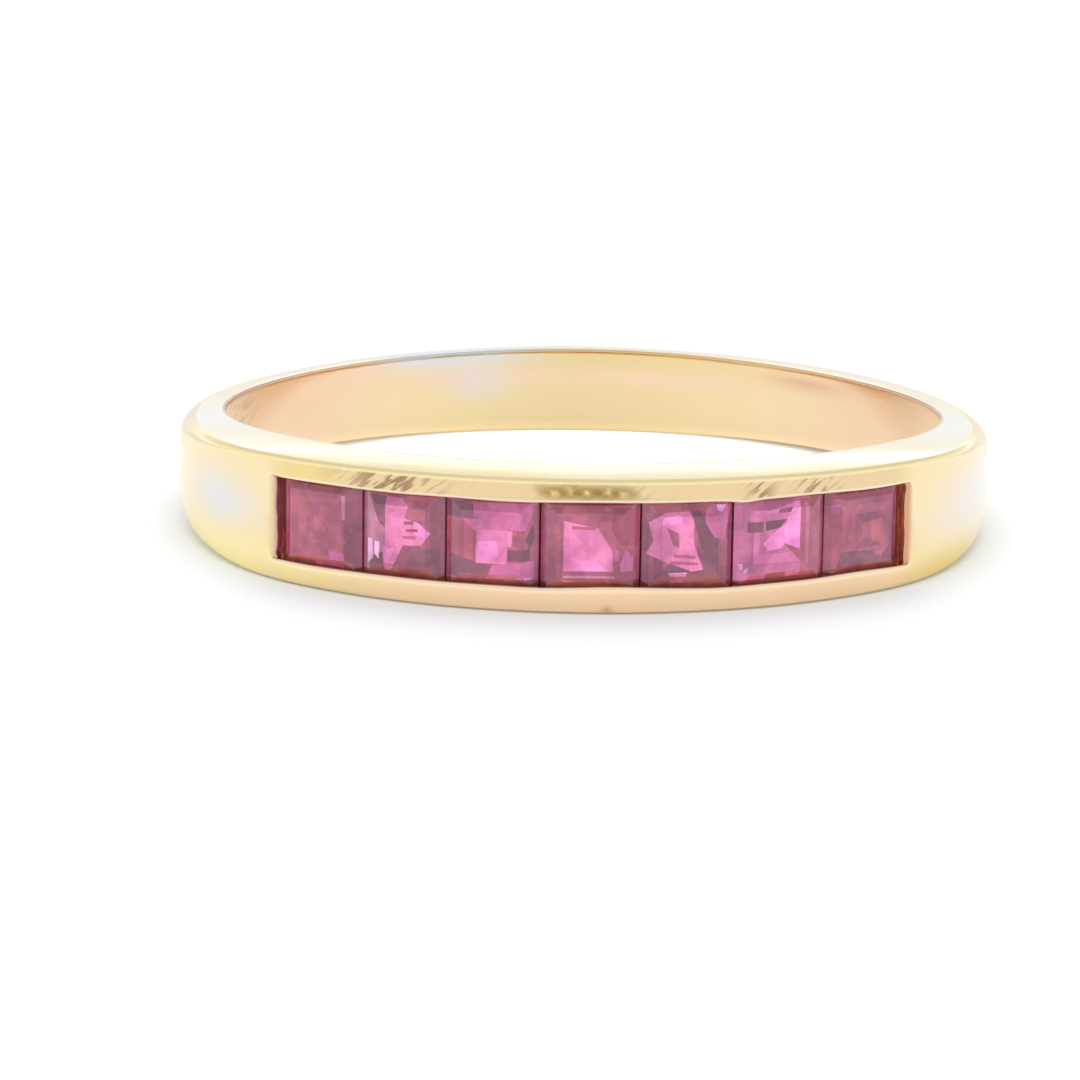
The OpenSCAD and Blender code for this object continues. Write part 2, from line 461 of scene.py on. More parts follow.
CUTS = (
    Cut(2.09, 0.7, (0.1, 0.05), (ROSE, ROSE, MAUVE, ROSE), (
        (BLUSH, -100, 95, -80, -30), (CORAL, -100, -30, -75, -30, -70, -85, -100, -90),
        (CORAL, -70, 60, -20, 65, -10, 20, -65, 20), (ROSE, 5, 55, 60, 50, 65, 10, 20, -5),
        (ROSE, 30, 10, 62, 0, 66, -55, 30, -50), (BLUSH, 62, 80, 72, 80, 72, 20, 64, 20),
        (UMBER, -100, -89, 100, -91, 100, -112, -100, -112),
        (WINE, -75, 98, 60, 95, 60, 82, -75, 86), (PINK, 30, -60, 70, -60, 72, -82, 35, -80),
        (PINK, -10, -90, 60, -88, 65, -98, -10, -100),
    )),
    Cut(1.9, 0.62, (0.15, 0.0), (BLUSH, ROSE, MAUVE, MAUVE), (
        (ASH, -78, 92, -36, 90, -36, 15, -50, 25), (FLASH, -36, 90, 2, 88, 20, 72, 10, 40, -36, 30),
        (FLASH, -36, 42, 12, 42, 44, 34, 74, 10, 52, -20, -36, -26),
        (BRIGHT, 36, 36, 46, 34, 72, 12, 60, 0, 36, 6),
        (FLASH, -42, -28, 8, -22, -8, -58, -30, -99, -38, -97),
        (WINE, 10, 34, 32, 38, 34, 30, 12, 27), (WINE, 14, 17, 44, 20, 44, 12, 16, 10),
        (ROSE, 6, 0, 38, 2, 40, -6, 8, -7), (BLUSH, -30, 62, -10, 66, -12, 56, -30, 52),
        (BRIGHT, -34, -36, -14, -30, -22, -56, -34, -60),
        (SLATE, -78, -60, -42, -42, -40, -95, -78, -95),
        (SPARK, -84, -15, -70, -15, -67, -60, -82, -74),
        (SPARK, -62, -18, -50, -20, -52, -62, -62, -50), (ASH, 30, -35, 92, -20, 92, -95, 10, -95),
        (MAUVE, 15, -70, 80, -68, 70, -98), (UMBER, -100, -90, 100, -87, 100, -112, -100, -112),
    )),
    Cut(2.0, 0.66, (0.0, -0.1), (ROSE, PINK, ROSE, MAUVE), (
        (ASH, -97, 95, -40, 95, -34, 55, -95, 58), (CORAL, -98, 55, -75, 55, -72, 0, -98, -5),
        (PINK, -20, 85, 92, 85, 75, 32, -20, 32), (ASH, -90, -30, 10, -58, 10, -85, -90, -85),
        (PINK, 5, -52, 92, -42, 92, -85, -10, -88), (FLASH, -30, 30, 48, 30, 45, -8, -30, -8),
        (FLASH, -32, -5, 36, -50), (BRIGHT, -28, 2, 12, 5, 20, -30, -10, -46, -28, -46),
        (BLUSH, -27, 68, -17, 38), (MAUVE, 50, 20, 74, -6),
        (SLATE, 38, -15, 84, -12, 84, -40, 38, -42), (SLATE, 74, 10, 90, 50, 93, 10, 82, -15),
        (BRIGHT, 55, -82, 87, -80, 84, -94, 60, -92),
        (UMBER, -100, -90, 100, -88, 100, -112, -100, -112),
    )),
    Cut(2.09, 0.68, (-0.05, -0.05), (MAUVE, ROSE, ROSE, MAUVE), (
        (MAUVE, -95, 90, -56, -60), (CORAL, -72, 50, -62, -50),
        (FLASH, -54, 60, 16, 42, 44, -10, 46, -60, -54, -60),
        (WINE, 45, 90, 95, 90, 95, 2, 62, 0, 42, 40), (ROSE, -38, 70, 20, 68, 20, 58, -38, 60),
        (ROSE, -38, 48, 12, 45, 10, 38, -38, 40),
        (BRIGHT, -30, -50, -8, -34, 14, -34, 34, -60, -30, -60),
        (FLASH, 60, -45, 72, -8, 88, -30, 86, -60, 62, -60), (PINK, 50, -8, 58, -34),
        (BLUSH, -55, -70, 50, -77), (BRIGHT, -55, -84, -34, -84, -36, -94, -50, -94),
        (BRIGHT, 28, -84, 54, -84, 50, -94, 30, -94),
        (UMBER, -100, -88, 100, -85, 100, -112, -100, -112),
    )),
    Cut(1.97, 0.6, (0.0, 0.05), (MAUVE, ROSE, MAUVE, ASH), (
        (FLASH, -88, 55, -55, 78, 0, 80, 10, 50, 10, 5, -40, 0, -78, 12),
        (FLASH, -92, -20, -78, 12, 10, 5, 20, -25, 4, -62, -57, -36),
        (FLASH, 0, -20, 20, -25, 32, -60, 2, -63), (MAUVE, -50, 43, -24, 30, -22, -5, -36, 0),
        (SLATE, 6, 80, 24, 80, 66, 10, 62, -30, 28, -10, 12, 50),
        (ASH, 30, -20, 66, -10, 66, -86, 36, -88),
        (PINK, 36, 82, 55, 95, 95, 90, 80, 8, 55, 17, 34, 55),
        (SPARK, 60, 94, 82, 94, 74, 78, 64, 80), (CORAL, 66, -20, 90, -20, 90, -53, 68, -53),
        (BRIGHT, -46, -65, -4, -65, -6, -75, -42, -75),
        (BLUSH, -40, -85, -12, -85, -14, -92, -38, -92),
        (BRIGHT, -60, 66, -20, 74, -16, 54, -62, 50), (ROSE, -36, -20, 14, -26, 14, -33, -34, -28),
        (ROSE, -44, -36, 20, -42, 20, -49, -40, -44),
        (UMBER, -100, -87, 100, -92, 100, -112, -100, -112),
    )),
    Cut(2.14, 0.66, (-0.15, 0.1), (PETAL, PETAL, ROSE, PETAL), (
        (ROSE, 40, 95, 96, -90), (BLUSH, 50, 85, 58, -60), (ROSE, 72, 70, 82, -75),
        (BRIGHT, 8, 50, 24, 90, 38, 90, 38, -24, 6, -10),
        (BRIGHT, -46, -5, -20, 20, 12, 43, 10, 0, -5, -20, -32, -24),
        (BRIGHT, -37, 72, 24, 87, 24, 78, -37, 63), (SLATE, -40, 48, 8, 50, -8, 30, -40, 25),
        (ASH, -78, 48, -45, 23), (SPARK, -93, -54, -85, -52, -84, -66, -90, -68),
        (SPARK, -82, -66, -75, -62, -77, -75, -84, -74), (WINE, -10, 75, 20, 78, 16, 66, -12, 66),
        (ASH, -37, -78, 8, -92), (UMBER, -100, -94, 100, -88, 100, -112, -100, -112),
    )),
    Cut(2.07, 0.7, (0.05, 0.0), (ROSE, MAUVE, MAUVE, MAUVE), (
        (ROSE, -97, 66, -45, 66, -45, 0, -97, -10), (PINK, -90, 70, -76, 72, -74, 50, -88, 48),
        (ASH, -70, -45, 60, -50, 70, -90, -80, -90), (WINE, -97, 97, 70, 84),
        (CORAL, 10, 22, 40, 24, 40, -30, 12, -30), (CORAL, 20, -55, 50, -50, 40, -72),
        (BLUSH, 84, 75, 97, 70, 97, -70, 86, -60),
        (UMBER, -100, -88, 100, -81, 100, -112, -100, -112),
    )),
)

class Zone(Enum):
    """What a station along the band cuts through."""

    SHANK = "shank"
    BROW = "upper edge of an end wall"
    CHANNEL = "channel"


# ---- band
# The last points of a half section on the finger hole, its rounded edge, the flat
# side, the outer edge, the rail and the bevel of its lip, and the outer edge's middle.
BORE_LAST, INNER_LAST, SIDE_LAST, EDGE_LAST, RAIL_LAST, LIP_LAST = 3, 8, 15, 26, 31, 35
CREASE = 22

# Where the points of a half section lie, as shares of the way.
BORE_SHARES = (0.35, 0.7, 0.92)
SIDE_SHARES = (0.06, 0.2, 0.35, 0.5, 0.65, 0.8, 0.92)
RAIL_SHARES = (0.12, 0.35, 0.6, 0.85, 1.0)
WALL_SHARES = (0.88, 0.7, 0.45, 0.2, 0.0)
FLOOR_SHARES = (0.75, 0.5, 0.25, 0.0)
SHANK_STEPS = 13


@dataclass
class Band:
    """The gold casting: shank, shoulders, rails, channel and its end walls."""

    bore_r: float = 8.45
    head_t: float = 1.9
    shank_t: float = 1.0
    hand_filing: float = 0.1
    head_w: float = 2.95
    back_w: float = 2.1
    waist: float = 0.18
    head_dome: float = 0.05
    shank_dome: float = 0.1
    head_edge: float = 0.07
    shoulder_edge: float = 0.34
    back_edge: float = 0.14
    mouth_w: float = 1.81
    lip_bevel: float = 0.09
    end_gap: float = 0.05
    end_shelf: float = 0.12
    end_bevel: float = 0.2
    end_slope: float = 0.02
    ragged: float = 0.04
    head_end: float = 38.0
    shoulder_end: float = 94.0
    swell: Pair = (43.0, 72.0)
    fade: Pair = (95.0, 150.0)
    edge_stretch: float = 1.25
    play: float = 0.03
    groove_top: float = 10.205
    groove_half: float = 1.06
    girdle_r: float = 10.01
    girdle_low: float = 9.92
    girdle_t: float = 0.06
    floor_r: float = 8.83
    seat_half: float = 0.48
    ripple: float = 0.006
    upper_bends: tuple[Triple, ...] = ((3.0, 8.0, -0.030), (18.0, 1.7, 0.045), (26.0, 5.0, -0.012))
    lower_bends: tuple[Triple, ...] = (
        (2.0, 7.0, 0.038), (16.0, 5.0, -0.036), (34.0, 7.0, 0.030), (-22.0, 6.0, 0.012),
    )
    bow: float = 0.03
    inner_edge: float = 0.05
    stations: int = 720
    crease_angle: float = 32.0
    yellow: Triple = (0.91, 0.71, 0.40)
    finish: Gold = field(default_factory=Gold)

    def __post_init__(self) -> None:
        """Works out the values that the sections share."""
        self.head_r = self.bore_r + self.head_t
        span = self.head_r + self.bore_r + self.shank_t
        self.side_slope = (self.head_w - self.back_w) / span / 2.0
        self.side_mid = self.head_w / 2.0 - self.side_slope * self.head_r
        self.rest_tilt = math.atan(self.side_slope)
        low = self.girdle_r - self.girdle_t
        halves = [math.degrees(math.atan((c.width + self.play) / 2 / low)) for c in CUTS]
        self.row_half = sum(halves)
        self.stone_angles = [
            2.0 * sum(halves[:k]) + half - self.row_half for k, half in enumerate(halves)
        ]
        self.channel_half = self.row_half + math.degrees(self.end_gap / self.head_r)

    def rest(self) -> Matrix:
        """Turns the ring from its own axis to the side that it rests on."""
        up = self.side_mid * math.cos(self.rest_tilt)
        lift = Matrix.Translation((0.0, (self.head_t - self.shank_t) / 2, up))
        return lift @ Matrix.Rotation(-self.rest_tilt, 4, "X")

    def half_width(self, angle: float, radius: float) -> float:
        """Gives half of the band's width.

        Args:
            angle: Where along the band.
            radius: At what radius.

        Returns:
            Half of the width.
        """
        along = max(0.0, (fold(angle) - self.head_end) / (180.0 - self.head_end))
        planes = self.side_mid + self.side_slope * radius * math.cos(math.radians(angle))
        return planes * (1.0 - self.waist * math.sin(math.pi * along) ** 2)

    def wall(self, angle: float) -> float:
        """Gives the thickness of the wall, which is filed unevenly at the back.

        Args:
            angle: Where along the band.

        Returns:
            The thickness.
        """
        f = fold(angle)
        filed = 0.0
        if f >= 90.0:
            side = 1.0 if angle < 180.0 else -1.0
            filed = side * self.hand_filing * math.sin(math.radians(2.0 * f)) ** 2
        taper = 1.0 - ease(f, self.head_end, self.shoulder_end)
        return self.shank_t + filed + (self.head_t - self.shank_t) * taper

    def edge(self, angle: float) -> float:
        """Gives how deep the outer edges are rounded at an angle."""
        deeper = (self.shoulder_edge - self.head_edge) * ease(fold(angle), *self.swell)
        back = (self.shoulder_edge - self.back_edge) * ease(fold(angle), *self.fade)
        return self.head_edge + deeper - back

    def dome(self, angle: float) -> float:
        """Gives how far the outside bulges at an angle."""
        more = self.shank_dome - self.head_dome
        return self.head_dome + more * ease(fold(angle), *self.swell)

    def waver(self, angle: float, side: int) -> float:
        """Gives how far the hand-filed lip of a rail strays from its line.

        Args:
            angle: Where along the band.
            side: 1 for the upper rail and -1 for the lower one.

        Returns:
            How far the lip stands out into the channel.
        """
        turned = angle if angle < 180.0 else angle - 360.0
        a = math.radians(turned)
        slow, quick = math.sin(9.0 * a + 1.3 * side), math.sin(23.0 * a - 0.7 * side)
        bends = self.upper_bends if side > 0 else self.lower_bends
        return self.ripple * slow + self.ripple * quick + sum(
            out * swell(turned, middle, spread) for middle, spread, out in bends
        )

    def half_section(self, angle: float, zone: Zone, side: int) -> list[Pair]:
        """Draws half of a section, from inside the finger hole to the middle outside.

        Args:
            angle: Where along the band.
            zone: What the section cuts through there.
            side: 1 for the upper half and -1 for the lower one.

        Returns:
            Points as radius and height above the middle.
        """
        c, e, bevel = self.inner_edge, self.edge(angle), self.lip_bevel
        outer = self.bore_r + self.wall(angle)
        h = self.half_width(angle, outer - e)
        low = h - e * self.edge_stretch - self.bow
        rim = outer - self.dome(angle) * (low / h) ** 2
        inside = self.half_width(angle, self.bore_r + c)
        points = [(self.bore_r, 0.0)]
        points += [(self.bore_r, (inside - c) * k) for k in BORE_SHARES]
        points += [(self.bore_r + c * (1 - cos), inside - c * (1 - sin)) for cos, sin in quarter(4)]
        flat_from, flat_to = self.bore_r + c, rim - e
        for k in SIDE_SHARES:
            r = flat_from + (flat_to - flat_from) * k
            points.append((r, self.half_width(angle, r) - self.bow * k * k))
        for cos, sin in quarter(10):
            r = rim - e * (1 - sin)
            drop = e * self.edge_stretch * (1 - cos) + self.bow
            points.append((r, self.half_width(angle, r) - drop))
        mouth = self.mouth_w / 2 - self.waver(angle, side)
        lip_z = mouth + bevel
        if zone is Zone.SHANK:
            lip_z = min(lip_z, 0.96 * low)

        def on_dome(z: float) -> Pair:
            """Gives the point of the domed outside at a height."""
            return (outer - self.dome(angle) * (z / h) ** 2, z)

        points += [on_dome(low + (lip_z - low) * k) for k in RAIL_SHARES]
        if zone is Zone.SHANK:
            steps = range(1, SHANK_STEPS + 1)
            return points + [on_dome(lip_z * (1 - k / SHANK_STEPS)) for k in steps]
        lip_r = self.head_r - bevel
        top = on_dome(lip_z)[0]
        points += [
            (lip_r + (top - lip_r) * cos, mouth + bevel * (1 - sin)) for cos, sin in quarter(4, 1)
        ]
        if zone is Zone.BROW:
            points += [(lip_r, mouth * (1 - self.end_slope * k)) for k in (1, 2, 3, 4)]
            return points + [(lip_r, mouth * k) for k in WALL_SHARES]
        points += [
            (self.groove_top, mouth),
            (self.groove_top, self.groove_half),
            (self.girdle_low, self.groove_half),
            ((self.girdle_low + self.floor_r) / 2, (self.groove_half + self.seat_half) / 2),
            (self.floor_r, self.seat_half),
        ]
        return points + [(self.floor_r, self.seat_half * k) for k in FLOOR_SHARES]

    def section(self, angle: float, zone: Zone) -> np.ndarray:
        """Draws a whole section, with a row of radius and height per point."""
        upper, lower = (self.half_section(angle, zone, side) for side in (1, -1))
        return np.array(upper + [(r, -z) for r, z in reversed(lower[1:-1])])

    def plan(self) -> list[tuple[float, Zone]]:
        """Lays out the stations round the band, with four of them at each end wall.

        Returns:
            The angle of each station and what it cuts through.
        """
        last = int(self.channel_half / (360.0 / self.stations))
        sheer = 0.02
        shelf, start = (
            self.channel_half + math.degrees(by / self.head_r)
            for by in (self.end_shelf, self.end_bevel)
        )
        half = [(k * self.channel_half / last, Zone.CHANNEL) for k in range(last)]
        half.append((self.channel_half - sheer, Zone.CHANNEL))
        half += [(self.channel_half, Zone.BROW), (shelf, Zone.BROW)]
        left = self.stations // 2 - len(half)
        half += [(start + (180.0 - start) * (k / left), Zone.SHANK) for k in range(left + 1)]
        return half + [(360.0 - a, zone) for a, zone in reversed(half[1:-1])]

    def build(self) -> bpy.types.Object:
        """Turns a section round the finger hole and files it to shape.

        Returns:
            The finished band.
        """
        deselect_all()
        first = self.section(0.0, Zone.CHANNEL)
        bpy.ops.mesh.primitive_circle_add(vertices=len(first), radius=1.0)
        band = bpy.context.object
        band.name = "gold_band"
        mesh = band.data
        mesh.name = band.name
        marks = mesh.attributes.new("profile", "INT", "POINT")
        for k, (r, z) in enumerate(first):
            mesh.vertices[k].co = (0.0, -r, z)
            marks.data[k].value = k
        bpy.ops.object.mode_set(mode="EDIT")
        bpy.ops.mesh.select_all(action="SELECT")
        bpy.ops.mesh.spin(steps=self.stations, angle=math.tau, center=ORIGIN, axis=(0.0, 0.0, 1.0))
        bpy.ops.mesh.select_all(action="SELECT")
        bpy.ops.mesh.remove_doubles(threshold=WELD)
        bpy.ops.object.mode_set(mode="OBJECT")
        self.file_to_shape(mesh)
        bpy.ops.object.mode_set(mode="EDIT")
        bpy.ops.mesh.select_all(action="SELECT")
        bpy.ops.mesh.normals_make_consistent(inside=False)
        bpy.ops.object.mode_set(mode="OBJECT")
        bpy.ops.object.shade_smooth_by_angle(angle=math.radians(self.crease_angle))
        mesh.materials.clear()
        mesh.materials.append(self.finish.make("polished_gold"))
        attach(band, "root")
        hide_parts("band")
        return band

    def file_to_shape(self, mesh: bpy.types.Mesh) -> None:
        """Moves each point of the turned blank to its own section, and paints it.

        Args:
            mesh: The turned blank.
        """
        count = len(mesh.vertices)
        where = np.empty(count * 3)
        mesh.vertices.foreach_get("co", where)
        profile = np.empty(count, dtype=np.int32)
        mesh.attributes["profile"].data.foreach_get("value", profile)
        mesh.attributes.remove(mesh.attributes["profile"])
        turn = np.degrees(np.arctan2(where[0::3], -where[1::3])) % 360.0
        station = np.rint(turn / (360.0 / self.stations)).astype(int) % self.stations
        plan = self.plan()
        sections = np.stack([self.section(a, zone) for a, zone in plan])
        r, z = sections[station, profile].T
        a = np.radians([a for a, _ in plan])[station]
        brow = np.array([zone is Zone.BROW for _, zone in plan])[station]
        outer = np.abs(np.degrees(a - math.pi)) < 180.0 - self.channel_half - 0.1
        phase = np.sign(a - math.pi) + 2.0 * outer
        filed = np.sin(7.0 * z + phase) * np.cos(19.0 * z - phase) * np.where(outer, 0.15, 0.8)
        filed = filed * (brow & (np.abs(z) < self.mouth_w / 2))
        a = a + self.ragged / self.head_r * filed
        placed = np.stack([r * np.sin(a), -r * np.cos(a), z], axis=1)
        rest = np.array(self.rest())
        placed = (placed @ rest[:3, :3].T + rest[:3, 3]) * MM
        mesh.vertices.foreach_set("co", placed.ravel())
        mesh.update()
        around = (np.degrees(a) + 180.0) % 360.0 - 180.0
        depth = np.minimum(profile, sections.shape[1] // 2 * 2 - profile)
        tint, wear_and_reflection, matte = self.paint(around, z, depth)
        for name, kind, key, values in (
            ("tint", "FLOAT_COLOR", "color", np.c_[tint, np.ones(count)].ravel()),
            ("wear_and_reflection", "FLOAT", "value", wear_and_reflection),
            ("matte", "FLOAT", "value", matte),
        ):
            mesh.attributes.new(name, kind, "POINT").data.foreach_set(key, values)

    def paint(
        self, around: np.ndarray, z: np.ndarray, depth: np.ndarray
    ) -> tuple[np.ndarray, np.ndarray, np.ndarray]:
        """Gives the gold its tints, which paint in reflections, highlights and shade, its dark
        streaks and its matte places.

        Args:
            around: Angle of each point from the front, -180 to 180.
            z: Its height above the middle.
            depth: Its place in a section, counted from inside the finger hole.

        Returns:
            The tint with its painted light and shade, the share of dark streaks and how matte it
            is, of each point.
        """
        # The gold's own yellow, over which the layers below paint reflections, highlights and
        # shade.
        tint = np.tile(np.array(self.yellow), (len(around), 1))
        far, upper = np.abs(around), z > 0
        near, both, high = (partial(swell, where) for where in (around, far, z))
        lasts = (-1, INNER_LAST, SIDE_LAST, EDGE_LAST, RAIL_LAST, LIP_LAST)
        inside, flat, edge, rail, lip = (
            (depth > first) & (depth <= last) for first, last in zip(lasts, lasts[1:])
        )
        outer = depth > SIDE_LAST
        front = 1.0 - ease(far, self.channel_half - 3.5, self.channel_half + 2.5)
        above, below = rail * front * upper, rail * front * ~upper

        def lay(share: np.ndarray, *colour: float) -> None:
            """Lays a colour, in hundredths, over the points, as strongly as its share."""
            kept = np.clip(share, 0.0, 1.0)[:, None]
            tint[:] = tint * (1.0 - kept) + np.array(colour) / 100 * kept

        # The finger hole, all painted reflections: its darker and lighter stretches, its pinkish
        # band, grey patch, dark streak and brown rims.
        lay(inside * both(112, 40) * 0.9, 79, 55.7, 40)
        lay(inside * both(180, 36) * 0.9, 72, 55.5, 30)
        lay(inside * both(165, 18) * high(0.35, 0.16) * 0.8, 83, 58, 42)
        lay(inside * near(-125, 22) * high(0.8, 0.4) * 0.8, 84, 59, 45)
        lay(inside * near(-163, 6) * high(0.2, 0.3) * 0.8, 67, 61, 62)
        streak = z - (0.6 + (145.0 - around) / 31.0 * 0.25)
        lay(inside * near(128, 17) * swell(streak, 0.0, 0.09) * 0.7, 60, 30, 20)
        lay(((depth > BORE_LAST) & inside) * near(-90, 19) * upper * 0.8, 60, 32, 16)
        lay((depth <= BORE_LAST) * both(92, 16) * 0.9, 94, 78, 60)
        brink = (depth > BORE_LAST + 2) & inside
        lay(brink * both(95, 24) * 0.9, 42, 18, 9)
        lay((brink & ~upper) * (far > 60.0) * 0.6, 52, 34, 22)

        # The flat sides, with painted reflections: paler, yellower at the front left, whiter beside
        # the shoulders, darker at the back, and a blue-grey strip at the back left.
        lay(flat * 0.9, 91, 79, 47)
        lay(flat * (far > 100.0) * 0.7, 88, 72, 54)
        lay(flat * near(-16, 15) * 0.7, 84, 67, 24)
        lay(flat * both(76, 20) * 0.8, 93, 92, 93)
        lay(flat * both(180, 20) * 0.8, 75, 56, 25)
        strip = 1.5 * near(-158, 12) * (1.6 * high(1.04, 0.26)).clip(0.0, 1.0)
        lay(~outer * strip, 64, 68, 75)

        # The outside, with painted reflections on the edges, pearly painted highlights on the
        # shoulders and yellow below them, and a painted dark line of shade on the crease.
        lay(edge * upper * both(0, 60) * 0.8, 93, 80, 44)
        lay(edge * ~upper * both(0, 34) * 0.9, 100, 73, 50)
        lay(outer * near(62, 15) * high(0.1, 0.9) * 0.85, 80, 74.5, 74)
        lay(outer * near(-54, 9) * high(0.1, 0.65) * 0.85, 73, 71, 75)
        lay(outer * near(-84, 10) * 0.8, 76, 69, 57)
        lay(outer * near(-54, 15) * high(-1.3, 0.6) * 0.9, 100, 87, 41)
        lay(outer * near(54, 11) * high(-1.3, 0.5) * 0.9, 87, 64, 18)
        lay((depth == CREASE) * both(76, 12) * 0.5, 62, 42, 30)

        # The rails, with painted reflections: the upper one darker, with an olive patch and its
        # painted glints, the lower one lighter.
        lay(above * 0.9, 78.5, 57, 32.5)
        lay(above * near(-38, 6) * 0.8, 84, 66, 25)
        lay(below * 0.9, 100, 72, 45.5)
        lay(below * near(-40, 14) * 0.8, 100, 84, 39)
        olive_reflection = np.clip(1.0 - np.abs((around + 0.9 + 3.0 * (z - 1.15)) / 6.3) ** 6, 0.0, 1.0)
        lay(rail * front * olive_reflection * high(1.16, 0.15), 34, 20, 5)
        for at, up in ((-4.8, 1.12), (-3.1, 1.2), (-1.0, 1.13), (1.4, 1.19), (3.2, 1.12)):
            lay(rail * near(at, 0.4) * high(up, 0.05), 100, 88, 40)
        lay(outer * near(1.5, 0.6) * high(-1.36, 0.06) * 0.7, 55, 22, 12)

        # The lips, with a painted highlight; below the stones the channel wall, reddish brown with
        # painted shade and darker in places; and the channel's ends, with painted shade and
        # reflections.
        lay(lip * front * 0.9, 97, 82, 62)
        lay((depth > LIP_LAST) * front * ~upper * 0.9, 72, 32, 19)
        lip_shade = 0.85 * near(25, 15) + 0.6 * near(-25, 11)
        lay((depth > LIP_LAST - 2) * front * ~upper * lip_shade, 50, 19, 11)
        ends = (far > self.row_half - 0.3) & (far < self.channel_half + 0.9)
        ends = ends & (np.abs(z) < self.mouth_w / 2 + 0.02) & (depth > RAIL_LAST)
        lay(ends * (around < 0) * 0.95, 48, 22, 23)
        lay(ends * (around < 0) * (far > self.channel_half + 0.3) * 0.9, 80, 60, 36)
        lay(ends * (around > 0) * 0.85, 62, 29, 15)

        # Dark streaks: painted reflections on the upper rail, wear on the shoulders and inside the
        # finger hole.
        wear_and_reflection = above * (
            0.9 * near(-25, 6) + 0.35 * near(0.5, 6) + 0.8 * near(20, 1.6) + 0.8 * near(27.5, 2.6)
        )
        wear_and_reflection = wear_and_reflection + 0.04 * outer * near(75, 12)
        wear_and_reflection = wear_and_reflection + 0.3 * inside * near(-101, 9) * high(0.5, 0.5)
        matte = (depth <= BORE_LAST + 1) * np.clip(1.4 * both(94, 20), 0.0, 1.0)
        matte = matte + 0.5 * (outer & (depth <= RAIL_LAST)) * both(80, 18)
        return tint, np.clip(wear_and_reflection, 0.0, 1.0), matte


